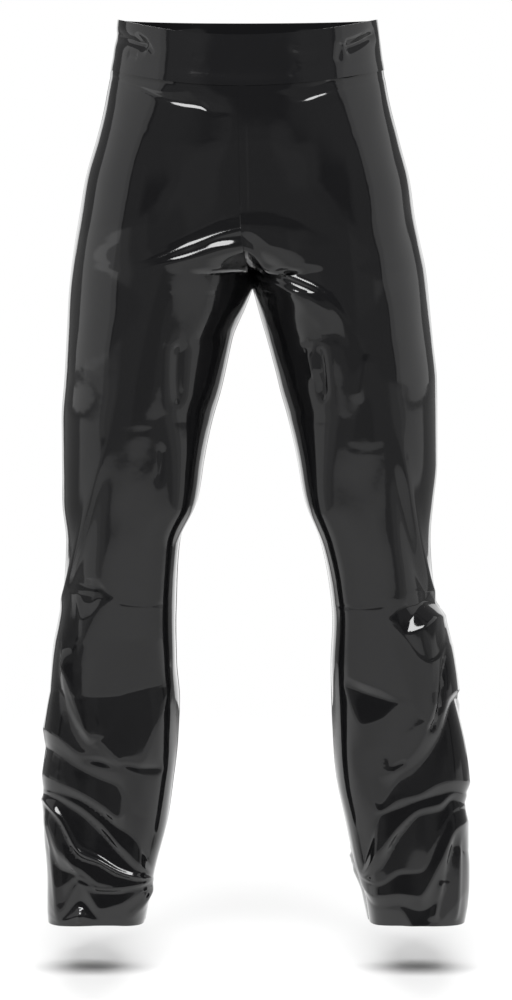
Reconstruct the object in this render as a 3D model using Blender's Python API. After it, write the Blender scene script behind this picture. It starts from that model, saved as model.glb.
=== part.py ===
# Latex trousers, worn and hollow: a wide waistband ring and four leg panels, each a thin wall.
# Metres, +Z up, the front faces -Y, +X is the picture's right. The origin is the middle of the waist opening.
import bpy
import numpy as np

OBJECT = "latex trousers"
MM = 0.001

# Driving sizes, in millimetres.
WALL = 1.5          # wall thickness, laid inwards from the outer face
SEAM_GAP = 0.4      # clear gap between two pieces along a seam
WAIST_DIP = 20.0    # how far the top edge falls from the sides to the centre front
BAND_SIDE = 56.0    # depth of the waistband at the side
BAND_FRONT = 75.0   # level of the waist seam at the centre front, below the origin
BAND_BACK = 60.0    # level of the waist seam at the centre back
HIP = -60.0         # level where the one oval begins to part into two leg tubes
FORK = -279.0       # level of the crotch point, where the four panels meet
SEAM_FADE = 70.0    # below the waist seam, the rows become level over this height
HEM_SIDE = -1027.0  # level of the raw hem at the side seams
HEM_FRONT = 9.0     # how far the hem rises at the front of the leg
HEM_BACK = 4.0      # how far it falls at the back
COLUMNS = 12        # faces across one panel
HALF_TURN = np.pi

# One row for each section, from the waist down, in millimetres.
# z: level. left_out, left_in, right_in, right_out: the sides of each leg, or the centre seam above the
# fork. front, back: the front and back of the leg. side: how far back the side seam is.
# parted: at the centre seam, 0 where both halves make one oval, 1 where each leg is a tube of its own.
SECTION_COLUMNS = ("z", "left_out", "left_in", "right_in", "right_out", "front", "back", "side", "parted")
SECTIONS = (
    (5, -145, -9, -9, 144, -104, 104, 0, 0),
    (-45, -152, -10, -10, 151, -110, 108, 0, 0),
    (-90, -159, -11, -11, 158, -114, 116, 0, 0),
    (-134, -170, -10, -10, 169, -115, 126, 2, 0),
    (-178, -182, -9, -9, 181, -113, 133, 4, 0.03),
    (-223, -191, -8, -8, 188, -108, 130, 6, 0.15),
    (-246, -196, -5, -5, 193, -104, 124, 8, 0.32),
    (-268, -197, 0, 0, 198, -100, 116, 8, 0.68),
    (-279, -198, 3, 3, 200, -99, 112, 8, 1),
    (-313, -202, -3, 9, 204, -97, 103, 6, 1),
    (-358, -203, -16, 19, 208, -96, 96, 4, 1),
    (-403, -207, -27, 33, 213, -94, 90, 2, 1),
    (-449, -210, -41, 46, 214, -91, 84, 0, 1),
    (-494, -210, -50, 56, 214, -87, 78, -2, 1),
    (-540, -210, -58, 65, 210, -83, 73, -3, 1),
    (-585, -206, -77, 82, 207, -79, 72, -2, 1),
    (-631, -208, -81, 92, 210, -74, 78, 2, 1),
    (-677, -216, -82, 96, 223, -70, 84, 5, 1),
    (-723, -225, -82, 95, 234, -66, 88, 8, 1),
    (-769, -230, -79, 96, 242, -63, 90, 12, 1),
    (-816, -232, -81, 98, 248, -61, 89, 14, 1),
    (-862, -235, -86, 102, 251, -59, 86, 14, 1),
    (-909, -235, -93, 112, 252, -57, 82, 14, 1),
    (-956, -232, -105, 122, 256, -55, 78, 14, 1),
    (-1002, -229, -117, 136, 253, -53, 76, 13, 1),
    (-1040, -228, -126, 141, 246, -52, 75, 13, 1),
)

# One row for each large fold, in millimetres: the leg (-1 left, 1 right), the face it lies on (-1 front,
# 1 back), its start, middle and end as x and z seen from the front, its half width, and its rise
# (a trough is negative).
FOLD_COLUMNS = ("leg", "face", "x1", "z1", "x2", "z2", "x3", "z3", "width", "rise")
FOLDS = (
    (-1, -1, -12, -240, -68, -262, -128, -280, 10, 4),
    (-1, -1, -8, -254, -58, -282, -112, -300, 10, -5),
    (-1, -1, -158, -468, -195, -600, -212, -656, 13, 3),
    (-1, -1, -219, -704, -202, -771, -180, -826, 12, 4),
    (-1, -1, -136, -745, -138, -795, -139, -845, 26, -5),
    (-1, -1, -229, -801, -190, -822, -153, -851, 12, 5),
    (-1, -1, -232, -823, -186, -858, -139, -904, 12, -6),
    (-1, -1, -226, -887, -180, -948, -108, -978, 13, 6),
    (-1, -1, -228, -915, -183, -998, -110, -982, 13, -4),
    (-1, -1, -134, -978, -120, -978, -106, -978, 15, -5),
    (1, -1, 2, -246, 40, -272, 95, -298, 10, -4),
    (1, -1, 10, -279, 45, -297, 89, -312, 9, 4),
    (1, -1, 172, -467, 196, -600, 219, -659, 13, 3),
    (1, -1, 216, -690, 209, -723, 214, -762, 14, -4),
    (1, -1, 112, -755, 144, -774, 174, -778, 20, -5),
    (1, -1, 239, -776, 200, -828, 156, -876, 16, -5),
    (1, -1, 252, -873, 205, -886, 160, -890, 11, 5),
    (1, -1, 237, -880, 186, -938, 131, -968, 11, -4),
    (1, -1, 237, -900, 208, -944, 130, -979, 11, 5),
    (1, -1, 236, -922, 190, -990, 133, -984, 12, -5),
    (1, -1, 150, -977, 136, -977, 122, -977, 15, -5),
    (-1, 1, -24, -300, -98, -322, -172, -304, 15, -5),
    (1, 1, 26, -300, 102, -324, 178, -302, 15, -5),
    (-1, 1, -70, -545, -128, -560, -186, -548, 13, -5),
    (-1, 1, -80, -592, -130, -588, -190, -604, 12, -5),
    (1, 1, 74, -548, 130, -562, 190, -544, 13, -5),
    (1, 1, 88, -602, 138, -592, 192, -606, 12, -5),
    (-1, 1, -84, -760, -150, -800, -222, -842, 14, -5),
    (1, 1, 100, -772, 168, -806, 240, -852, 14, -5),
    (-1, 1, -96, -866, -150, -886, -226, -912, 13, 5),
    (1, 1, 112, -872, 176, -896, 246, -926, 13, 5),
    (-1, 1, -104, -920, -150, -944, -222, -950, 13, -5),
    (1, 1, 122, -926, 180, -950, 248, -962, 13, -5),
)

# Levels of the rows of faces: start, end and number of steps of each stretch.
ROW_STRETCHES = (
    (-75, -200, 5),
    (-200, -246, 3),
    (-246, -268, 2),
    (-268, -279, 2),
    (-279, -313, 2),
    (-313, -540, 8),
    (-540, -680, 6),
    (-680, -1027, 20),
)


def levels():
    """Levels of a panel's rows, from the waist seam at the centre front to the hem at the side."""
    parts = [np.linspace(a, b, n, endpoint=False) for a, b, n in ROW_STRETCHES]
    return np.append(np.concatenate(parts), HEM_SIDE)


def smooth_column(name, z):
    """One column of the section table at level z, by cubic pieces that keep to the rows' slopes."""
    table = np.array(SECTIONS, dtype=float)[::-1]
    known_z = table[:, 0]
    known = table[:, SECTION_COLUMNS.index(name)]
    steps = np.diff(known_z)
    slopes = np.diff(known) / steps
    turn = slopes[:-1] * slopes[1:] <= 0
    inner = np.where(turn, 0.0, 2 * slopes[:-1] * slopes[1:] / np.where(turn, 1.0, slopes[:-1] + slopes[1:]))
    tangents = np.concatenate([slopes[:1], inner, slopes[-1:]])
    z = np.clip(z, known_z[0], known_z[-1])
    i = np.clip(np.searchsorted(known_z, z) - 1, 0, len(steps) - 1)
    t = (z - known_z[i]) / steps[i]
    rise = known[i + 1] - known[i]
    bend_start = tangents[i] * steps[i] - rise
    bend_end = rise - tangents[i + 1] * steps[i]
    return known[i] + t * rise + t * (1 - t) * ((1 - t) * bend_start + t * bend_end)


def leg_names(leg):
    """The outer and inner column names of one leg."""
    return ("left_out", "left_in") if leg < 0 else ("right_out", "right_in")


def skin_point(leg, across, z):
    """Outer face without folds. across runs from -1, back centre, by 0, side seam, to 1, front centre."""
    outer_name, inner_name = leg_names(leg)
    outer = smooth_column(outer_name, z)
    inner = smooth_column(inner_name, z)
    depth = np.where(across > 0, smooth_column("front", z), smooth_column("back", z))
    side = smooth_column("side", z)
    at_leg = np.clip((HIP - z) / (HIP - FORK), 0, 1)
    at_leg = at_leg * at_leg * (3 - 2 * at_leg)
    parted = smooth_column("parted", z)
    turn = np.abs(across) * HALF_TURN
    swell = np.where(turn < HALF_TURN / 2, np.sin(turn), 1 - parted * (1 - np.sin(turn)))
    oval_x = inner + (outer - inner) * np.cos(turn / 2)
    oval_y = side + (depth - side) * np.sin(turn / 2)
    tube_x = (inner + outer) / 2 + (outer - inner) / 2 * np.cos(turn)
    tube_y = side + (depth - side) * swell
    x = oval_x + (tube_x - oval_x) * at_leg
    y = oval_y + (tube_y - oval_y) * at_leg
    return np.stack([x, y, z + 0 * x], axis=-1)


def fold_line(leg, face, corners):
    """Points on the skin along a bent line given by its start, middle and end in x and z."""
    t = np.linspace(0, 1, 13)
    weights = np.stack([(1 - t) * (1 - 2 * t), 4 * t * (1 - t), t * (2 * t - 1)], axis=-1)
    line = weights @ np.array(corners, dtype=float).reshape(3, 2)
    reach = np.linspace(0, 1, 41)
    points = []
    for x, z in line:
        row = skin_point(leg, -face * reach, np.full(len(reach), z))
        order = np.argsort(row[:, 0])
        points.append([np.interp(x, row[order, 0], row[order, axis]) for axis in range(3)])
    return np.array(points)


def fold_height(points, leg):
    """How far the folds move each skin point outwards."""
    height = np.zeros(points.shape[:-1])
    for fold in FOLDS:
        row = dict(zip(FOLD_COLUMNS, fold))
        line = fold_line(row["leg"], row["face"], [row[k] for k in FOLD_COLUMNS[2:8]])
        starts = line[:-1]
        runs = line[1:] - line[:-1]
        gap = points[..., None, :] - starts
        share = np.clip((gap * runs).sum(-1) / np.maximum((runs * runs).sum(-1), 1e-6), 0, 1)
        distance = np.linalg.norm(gap - share[..., None] * runs, axis=-1)
        nearest = distance.argmin(axis=-1)
        close = np.take_along_axis(distance, nearest[..., None], -1)[..., 0]
        along = (nearest + np.take_along_axis(share, nearest[..., None], -1)[..., 0]) / len(runs)
        taper = np.sqrt(np.clip(np.minimum(along, 1 - along) * 5 + 0.15, 0, 1))
        other_leg = np.clip((points[..., 2] - FORK) / 40, 0, 1) if row["leg"] != leg else 1.0
        height += row["rise"] * taper * np.exp(-(close / row["width"]) ** 2) * other_leg
    return height


def seam_level(across, low_front, low_back, side):
    """A level line round the waist: side at the side seams, and its own level at each centre."""
    centre = np.where(across > 0, low_front, low_back)
    return side + (centre - side) * np.sin(np.abs(across) * HALF_TURN / 2) ** 2


def half_levels(across):
    """Level of each point of one half's grid: the waist seam above, then level rows, then the hem."""
    z = levels()[:, None] + 0 * across
    top = seam_level(across, -BAND_FRONT, -BAND_BACK, -BAND_SIDE)
    fade = np.clip(1 - (z[0] - z) / SEAM_FADE, 0, 1)
    z = z + (top - z[0]) * fade
    hem = HEM_SIDE + np.where(across > 0, HEM_FRONT, -HEM_BACK) * np.sin(np.abs(across) * HALF_TURN)
    lift = np.clip((z - FORK * 3.2) / (HEM_SIDE - FORK * 3.2), 0, 1)
    return z + (hem - HEM_SIDE) * lift


def unit(vectors):
    return vectors / np.maximum(np.linalg.norm(vectors, axis=-1, keepdims=True), 1e-9)


def grid_normals(grid, leg, closed):
    """Outward normals of a grid whose rows run from back centre to front centre."""
    down = np.gradient(grid, axis=0)
    round_it = np.gradient(grid, axis=1)
    if closed is not None:
        loop = grid[:, 1] - grid[:, -2]
        round_it[closed, 0] = loop[closed]
        round_it[closed, -1] = loop[closed]
    return unit(np.cross(round_it, down)) * leg


def half_grid(leg):
    """Outer points and normals of one half of the garment below the waist seam."""
    across = np.linspace(-1, 1, 2 * COLUMNS + 1)[None, :]
    z = half_levels(across)
    across = across + 0 * z
    skin = skin_point(leg, across, z)
    below = levels() <= FORK
    normals = grid_normals(skin, leg, below)
    grid = skin + normals * fold_height(skin, leg)[..., None]
    middle = smooth_column(leg_names(leg)[1], z)
    above = ~below
    grid[above, :, 0] = np.where(leg < 0, np.minimum(grid, middle[..., None])[above, :, 0],
                                 np.maximum(grid, middle[..., None])[above, :, 0])
    normals = grid_normals(grid, leg, below)
    for end in (0, -1):
        facing = normals[above, end]
        facing[:, 0] = np.where(leg < 0, np.maximum(facing[:, 0], 0), np.minimum(facing[:, 0], 0))
        normals[above, end] = unit(facing)
    return grid, normals


def part_at_seams(grid, leg, face):
    """Draws a panel's two long edges back from the seams by half the gap each."""
    grid = grid.copy()
    half_gap = SEAM_GAP / 2
    side_step = unit(grid[:, 1] - grid[:, 0])
    grid[:, 0] += side_step * half_gap
    grid[:, -1, 0] += leg * half_gap
    grid[:, -1, 1] += face * half_gap
    return grid


def wall_mesh(name, outer, inner, closed):
    """A closed wall between two grids. closed joins the first and last columns into a ring."""
    rows, columns = outer.shape[:2]
    count = rows * columns
    points = np.concatenate([outer.reshape(-1, 3), inner.reshape(-1, 3)]) * MM
    faces = []
    spans = columns if closed else columns - 1
    for i in range(rows - 1):
        for j in range(spans):
            k = (j + 1) % columns
            a, b, c, d = i * columns + j, (i + 1) * columns + j, (i + 1) * columns + k, i * columns + k
            faces.append((a, b, c, d))
            faces.append((d + count, c + count, b + count, a + count))
    for j in range(spans):
        k = (j + 1) % columns
        low_j, low_k = (rows - 1) * columns + j, (rows - 1) * columns + k
        faces.append((k, k + count, j + count, j))
        faces.append((low_j, low_j + count, low_k + count, low_k))
    if not closed:
        for i in range(rows - 1):
            a, b = i * columns, (i + 1) * columns
            faces.append((a, a + count, b + count, b))
            a, b = a + columns - 1, b + columns - 1
            faces.append((b, b + count, a + count, a))
    mesh = bpy.data.meshes.new(name)
    mesh.from_pydata(points.tolist(), [], faces)
    mesh.update()
    return mesh


def latex(name, grey):
    """Glossy black sheet latex."""
    material = bpy.data.materials.new(name)
    material.use_nodes = True
    surface = material.node_tree.nodes["Principled BSDF"]
    surface.inputs["Base Color"].default_value = (grey, grey, grey, 1)
    surface.inputs["Roughness"].default_value = 0.08
    surface.inputs["IOR"].default_value = 1.52
    return material


def face_outwards(mesh):
    """Turns every face over if the wall's volume comes out negative."""
    volume = 0.0
    for face in mesh.polygons:
        corners = [mesh.vertices[i].co for i in face.vertices]
        for k in range(1, len(corners) - 1):
            volume += corners[0].dot(corners[k].cross(corners[k + 1]))
    if volume < 0:
        mesh.flip_normals()


def add_piece(collection, name, mesh, grey):
    face_outwards(mesh)
    piece = bpy.data.objects.new(name, mesh)
    piece.data.materials.append(latex(name + " latex", grey))
    collection.objects.link(piece)


def leg_panel(leg, face, grid, normals):
    """One panel's outer and inner points, from the side seam to the centre seam or the inseam."""
    if face < 0:
        columns = slice(COLUMNS, None)
    else:
        columns = slice(COLUMNS, None, -1)
    outer = part_at_seams(grid[:, columns], leg, face)
    return outer, outer - normals[:, columns] * WALL


def waistband():
    """The band's outer and inner points, as one ring from the left side seam by the front."""
    quarter = np.linspace(0, 1, COLUMNS + 1)
    legs = ((-1, quarter), (1, quarter[-2::-1]), (1, -quarter[1:]), (-1, -quarter[-2:0:-1]))
    rings = []
    for leg, across in legs:
        top = seam_level(across, -WAIST_DIP, 0.0, 0.0)
        seam = seam_level(across, -BAND_FRONT, -BAND_BACK, -BAND_SIDE) + SEAM_GAP
        z = top + (seam - top) * np.linspace(0, 1, 5)[:, None]
        rings.append(skin_point(leg, across + 0 * z, z))
    outer = np.concatenate(rings, axis=1)
    wrapped = np.concatenate([outer[:, -1:], outer, outer[:, :1]], axis=1)
    round_it = (wrapped[:, 2:] - wrapped[:, :-2])
    normals = unit(np.cross(round_it, np.gradient(outer, axis=0)))
    return outer, outer + normals * WALL * inward_sign(outer, normals)


def inward_sign(outer, normals):
    """1 where the normals point to the middle of the ring, else -1."""
    middle = outer.mean(axis=(0, 1))
    return np.sign(((middle - outer) * normals).sum(-1).mean())


for old in list(bpy.data.objects):
    bpy.data.objects.remove(old)

garment = bpy.data.collections.new(OBJECT)
bpy.context.scene.collection.children.link(garment)

band_outer, band_inner = waistband()
add_piece(garment, "waistband", wall_mesh("waistband", band_outer, band_inner, True), 0.012)
for leg, side_name in ((-1, "left"), (1, "right")):
    skin, outward = half_grid(leg)
    for face, face_name in ((-1, "front"), (1, "back")):
        name = face_name + "_" + side_name + "_panel"
        outer, inner = leg_panel(leg, face, skin, outward)
        add_piece(garment, name, wall_mesh(name, outer, inner, False), 0.010)
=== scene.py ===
# Latex trousers, dressed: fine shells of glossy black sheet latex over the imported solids.
# The script's own unit for the garment is the millimetre, turned to metres where a mesh is made.
import math

import bpy
import numpy as np
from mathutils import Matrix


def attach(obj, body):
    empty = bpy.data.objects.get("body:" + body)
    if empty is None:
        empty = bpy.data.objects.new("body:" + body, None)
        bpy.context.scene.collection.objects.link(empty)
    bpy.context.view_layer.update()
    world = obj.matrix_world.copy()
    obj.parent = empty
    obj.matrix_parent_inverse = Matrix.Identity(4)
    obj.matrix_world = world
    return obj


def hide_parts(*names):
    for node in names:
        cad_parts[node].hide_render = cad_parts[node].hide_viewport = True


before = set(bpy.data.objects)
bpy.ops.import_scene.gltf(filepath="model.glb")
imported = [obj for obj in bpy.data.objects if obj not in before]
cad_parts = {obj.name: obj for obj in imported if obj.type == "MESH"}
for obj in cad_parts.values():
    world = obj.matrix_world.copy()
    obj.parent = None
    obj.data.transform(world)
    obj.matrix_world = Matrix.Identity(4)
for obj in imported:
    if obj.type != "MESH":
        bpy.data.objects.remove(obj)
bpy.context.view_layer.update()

# ---------------------------------------------------------------- camera
# The photograph's view: a long lens 3.6 m ahead of the garment, at hip height and tipped down 6 degrees.
# The camera and the studio are in metres.
CAMERA_AWAY = 3.6
CAMERA_ACROSS = 0.009
CAMERA_LEVEL = -0.145
CAMERA_TIP = 6.25
CAMERA_LENS = 114.9

camera_data = bpy.data.cameras.new("camera")
camera_data.lens = CAMERA_LENS
camera_data.sensor_width = 36.0
camera_data.clip_end = 50.0
camera = bpy.data.objects.new("camera", camera_data)
camera.location = (CAMERA_ACROSS, -CAMERA_AWAY, CAMERA_LEVEL)
camera.rotation_euler = (math.radians(90 - CAMERA_TIP), 0, 0)
bpy.context.scene.collection.objects.link(camera)
bpy.context.scene.camera = camera
bpy.context.scene.view_settings.view_transform = "Standard"

# ---------------------------------------------------------------- studio
# White paper under the garment and a dim room round it, as polished latex mirrors it: grey ahead and dark
# high up, paler at both sides with a dark upright stripe. Soft lights hang overhead at front and back and
# stand at both sides and behind. The camera itself sees plain white past the paper.
FLOOR_LEVEL = -1.085
FLOOR_COLOR = "D0D0D0"
# The paper's colour ahead of the garment, darker as painted shade for the dimmer light there.
FLOOR_FRONT_SHADE_COLOR = "A4A4A4"
PAPER_HALF = 1.45
PAPER_FRONT = 2.5
PAPER_BACK = 1.7
PAPER_FADE = 0.25
PAPER_BACK_FADE = 1.0
# How far ahead of the garment the painted shade on the paper starts and where it is full, in metres.
PAPER_SHADE_CHANGE = (0.15, 0.6)
OVERHEAD_SIZE = (3.4, 1.2)
OVERHEAD_AHEAD = 1.95
OVERHEAD_LEVEL = 1.6
OVERHEAD_TIP = 42.0
OVERHEAD_POWERS = (("front", -1, 190.0), ("back", 1, 95.0))
SIDE_SIZE = (1.65, 2.2)
SIDE_AWAY = 1.8
SIDE_LEVEL = 0.375
SIDE_POWER = 7.6
SIDE_PLACES = (("left", -1, -0.1), ("right", 1, 0.17))
BACKDROP_SIZE = (2.0, 2.2)
BACKDROP_BEHIND = 1.7
BACKDROP_POWER = 16.0


def linear(hex_color):
    """A colour written as sRGB hex, as linear RGBA."""
    parts = [int(hex_color[i:i + 2], 16) / 255 for i in (0, 2, 4)]
    return [p / 12.92 if p <= 0.04045 else ((p + 0.055) / 1.055) ** 2.4 for p in parts] + [1.0]


def add_node(tree, kind, settings=None, **inputs):
    """Adds a node, sets its properties and its inputs, and returns its outputs.

    An input goes by its name, with spaces as underscores, or by i and its number, and is set or linked.
    """
    node = tree.nodes.new(kind)
    for key, value in (settings or {}).items():
        setattr(node, key, value)
    for key, value in inputs.items():
        socket = node.inputs[int(key[1:])] if key[1:].isdigit() else node.inputs[key.replace("_", " ")]
        if isinstance(value, bpy.types.NodeSocket):
            tree.links.new(value, socket)
        else:
            socket.default_value = value
    return node.outputs


# The room's brightness by bearing to either side, in degrees from its own front, which is turned a little
# to the right: below the horizon, level with it and high up, each from that bearing on. Each bearing has
# a soft edge. The two rises, as shares of the distance, are where low turns level and level turns high.
ROOM_TURN = 3.5
ROOM_LEVEL_RISE = (-0.05, -0.02)
ROOM_HIGH_RISE = (0.03, 0.10)
ROOM_COLUMNS = ("bearing", "edge", "low", "level", "high")
ROOM = (
    (0, 0, 0.20, 0.17, 0.055),
    (13, 3, 0.27, 0.225, 0.055),
    (30, 8, 0.27, 0.225, 0.20),
    (44, 5, 0.45, 0.225, 0.20),
    (57.5, 1, 0.55, 0.08, 0.06),
    (66.5, 1, 0.80, 0.25, 0.20),
    (105, 3, 0.30, 0.25, 0.20),
    (150, 3, 0.15, 0.20, 0.20),
)
SOFT_STEP = {"interpolation_type": "SMOOTHSTEP"}
NUMBERS = {"data_type": "FLOAT"}
TIMES = {"operation": "MULTIPLY"}
LARGER = {"operation": "MAXIMUM"}
WITHOUT_SIGN = {"operation": "ABSOLUTE"}

world = bpy.data.worlds.new("white studio")
bpy.context.scene.world = world
world.use_nodes = True
sky = world.node_tree
sky.nodes.clear()
direction = add_node(sky, "ShaderNodeSeparateXYZ", i0=add_node(sky, "ShaderNodeTexCoord")["Generated"])
ahead = add_node(sky, "ShaderNodeMath", TIMES, i0=direction[1], i1=-1.0)[0]
to_side = add_node(sky, "ShaderNodeMath", {"operation": "ARCTAN2"}, i0=direction[0], i1=ahead)[0]
turned = add_node(sky, "ShaderNodeMath", {"operation": "SUBTRACT"}, i0=to_side, i1=math.radians(ROOM_TURN))[0]
bearing = add_node(sky, "ShaderNodeMath", WITHOUT_SIGN, i0=turned)[0]
rise = direction[2]
first, last = ROOM_LEVEL_RISE
is_level = add_node(sky, "ShaderNodeMapRange", SOFT_STEP, i0=rise, i1=first, i2=last)[0]
first, last = ROOM_HIGH_RISE
is_high = add_node(sky, "ShaderNodeMapRange", SOFT_STEP, i0=rise, i1=first, i2=last)[0]
glow = 0.0
for place in ROOM:
    row = dict(zip(ROOM_COLUMNS, place))
    by_height = add_node(sky, "ShaderNodeMix", NUMBERS, i0=is_level, i2=row["low"], i3=row["level"])[0]
    by_height = add_node(sky, "ShaderNodeMix", NUMBERS, i0=is_high, i2=by_height, i3=row["high"])[0]
    first = math.radians(row["bearing"] - row["edge"])
    last = math.radians(row["bearing"] + row["edge"])
    edge = add_node(sky, "ShaderNodeMapRange", SOFT_STEP, i0=bearing, i1=first, i2=last)[0]
    before = glow if row["bearing"] else by_height
    glow = add_node(sky, "ShaderNodeMix", NUMBERS, i0=edge, i2=before, i3=by_height)[0]
is_camera = add_node(sky, "ShaderNodeLightPath")["Is Camera Ray"]
glow = add_node(sky, "ShaderNodeMix", NUMBERS, i0=is_camera, i2=glow, i3=1.0)[0]
background = add_node(sky, "ShaderNodeBackground", Color=linear("FFFFFF"), Strength=glow)
add_node(sky, "ShaderNodeOutputWorld", Surface=background[0])

bpy.ops.object.select_all(action="DESELECT")
bpy.ops.mesh.primitive_plane_add(size=1.0, location=(0, (PAPER_BACK - PAPER_FRONT) / 2, FLOOR_LEVEL))
floor = bpy.context.object
floor.name = floor.data.name = "floor"
floor.scale = (2 * PAPER_HALF, PAPER_BACK + PAPER_FRONT, 1)
bpy.ops.object.transform_apply()

# Plain matt paper: it fades out towards its edges, and its colour is a little darker ahead of the garment,
# painted shade that stands for less light falling on the paper there.
paper = bpy.data.materials.new("white studio paper")
paper.use_nodes = True
tree = paper.node_tree
tree.nodes.clear()
place = add_node(tree, "ShaderNodeSeparateXYZ", i0=add_node(tree, "ShaderNodeTexCoord")["Object"])
from_middle = add_node(tree, "ShaderNodeMath", WITHOUT_SIGN, i0=place[0])[0]
ahead = add_node(tree, "ShaderNodeMath", TIMES, i0=place[1], i1=-1.0)[0]
fade = 0.0
for run, width, limit in ((from_middle, PAPER_FADE, PAPER_HALF), (place[1], PAPER_BACK_FADE, PAPER_BACK),
                          (ahead, PAPER_FADE, PAPER_FRONT)):
    gone_here = add_node(tree, "ShaderNodeMapRange", SOFT_STEP, i0=run, i1=limit - width, i2=limit)[0]
    fade = add_node(tree, "ShaderNodeMath", LARGER, i0=fade, i1=gone_here)[0]
# Painted shade: the paper's colour turns darker ahead of the garment.
first, last = PAPER_SHADE_CHANGE
painted_shade = add_node(tree, "ShaderNodeMapRange", SOFT_STEP, i0=ahead, i1=first, i2=last)[0]
paper_color_and_shade = add_node(tree, "ShaderNodeMix", {"data_type": "RGBA"}, i0=painted_shade,
                       i6=linear(FLOOR_COLOR), i7=linear(FLOOR_FRONT_SHADE_COLOR))[2]
matt = add_node(tree, "ShaderNodeBsdfDiffuse", Color=paper_color_and_shade)[0]
nothing = add_node(tree, "ShaderNodeBsdfTransparent")[0]
blend = add_node(tree, "ShaderNodeMixShader", i0=fade, i1=matt, i2=nothing)[0]
add_node(tree, "ShaderNodeOutputMaterial", Surface=blend)
floor.data.materials.append(paper)


def soft_light(name, size, power, place, turn):
    """A rectangular soft light that faces along its own -Z, unseen by the camera."""
    data = bpy.data.lights.new(name, "AREA")
    data.shape = "RECTANGLE"
    data.size, data.size_y = size
    data.energy = power
    light = bpy.data.objects.new(name, data)
    light.location = place
    light.rotation_euler = turn
    light.visible_camera = False
    bpy.context.scene.collection.objects.link(light)


for side_name, side_sign, power in OVERHEAD_POWERS:
    tip = math.radians(-side_sign * OVERHEAD_TIP)
    soft_light("overhead_" + side_name, OVERHEAD_SIZE, power,
               (0, side_sign * OVERHEAD_AHEAD, OVERHEAD_LEVEL), (tip, 0, 0))
for side_name, side_sign, side_ahead in SIDE_PLACES:
    soft_light("side_" + side_name, SIDE_SIZE, SIDE_POWER, (side_sign * SIDE_AWAY, side_ahead, SIDE_LEVEL),
               (0, math.radians(side_sign * 90), 0))
soft_light("backdrop", BACKDROP_SIZE, BACKDROP_POWER,
           (0, BACKDROP_BEHIND, FLOOR_LEVEL + BACKDROP_SIZE[1] / 2), (math.radians(-90), 0, 0))

# ---------------------------------------------------------------- leg panels
# Four panels of polished sheet latex, cut flat and glued along lapped seams, each a fine shell on its
# solid's form: rows of level sections, with the folds and creases raised or sunk off the skin. An edge
# that laps over its neighbour stands 0.5 mm proud.
MM = 0.001
SHEET_THICKNESS = 0.8
EDGE_GAP = 0.15
RIM_ANGLE = math.radians(55)
LAP_WIDTH = 9.0
LAP_STEP = 0.5
LAP_EDGE = 2.0
BAND_SIDE = 56.0
BAND_FRONT = 75.0
BAND_BACK = 60.0
HIP = -60.0
FORK = -279.0
SEAM_FADE = 70.0
HEM_SIDE = -1027.0
HEM_FRONT = 9.0
HEM_BACK = 4.0
HEM_BEND_TOP = -892.8
INNER_SQUARE_TOP = -440.0
OUTER_SQUARE_TOP = -640.0
SQUARE_FADE = 110.0
SQUARE_POWER = 3.6
HALF_TURN = np.pi
EYE = np.array((CAMERA_ACROSS, -CAMERA_AWAY, CAMERA_LEVEL)) * 1000

# One row for each section, from the waist down, in millimetres.
# z: level. left_out, left_in, right_in, right_out: the sides of each leg, or the centre seam above the
# fork. front, back: the front and back of the leg. side: how far back the side seam is.
# parted: at the centre seam, 0 where both halves make one oval, 1 where each leg is a tube of its own.
SECTION_COLUMNS = ("z", "left_out", "left_in", "right_in", "right_out", "front", "back", "side", "parted")
SECTIONS = (
    (5, -145, -9, -9, 144, -104, 104, 0, 0),
    (-45, -152, -10, -10, 151, -110, 108, 0, 0),
    (-90, -159, -11, -11, 158, -114, 116, 0, 0),
    (-134, -170, -10, -10, 169, -115, 126, 2, 0),
    (-178, -182, -9, -9, 181, -113, 133, 4, 0.03),
    (-223, -190.6, -8, -8, 188, -108, 130, 6, 0.04),
    (-246, -194.4, -5, -5, 193, -104, 124, 7.3, 0.09),
    (-268, -197.4, 0, 0, 198, -100, 116, 8, 0.40),
    (-279, -198.7, 3, 3, 200, -99, 112, 8, 1),
    (-313, -202, -3, 9, 204, -97, 103, 7, 1),
    (-358, -204.5, -16, 19, 208, -96, 96, 4.6, 1),
    (-403, -207, -27, 33, 213, -94, 90, 2, 1),
    (-449, -210, -41, 46, 214, -91, 84, 0, 1),
    (-494, -210, -50, 56, 214, -87, 78, -2, 1),
    (-540, -210, -58, 65, 210, -83, 73, -3, 1),
    (-585, -206, -77, 82, 207, -79, 72, -2, 1),
    (-631, -208, -81, 92, 210, -74, 78, 2, 1),
    (-677, -216, -82, 96, 223, -70, 84, 5, 1),
    (-723, -225, -82, 95, 234, -66, 88, 8, 1),
    (-769, -230, -79, 96, 242, -63, 90, 12, 1),
    (-816, -232, -81, 98, 248, -61, 89, 14, 1),
    (-862, -235, -86, 102, 251, -59, 86, 14, 1),
    (-909, -235, -93, 112, 252, -57, 82, 14, 1),
    (-956, -232, -105, 122, 256, -55, 78, 14, 1),
    (-1002, -229, -117, 136, 253, -53, 76, 13, 1),
    (-1040, -228, -126, 141, 246, -52, 75, 13, 1),
)

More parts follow.
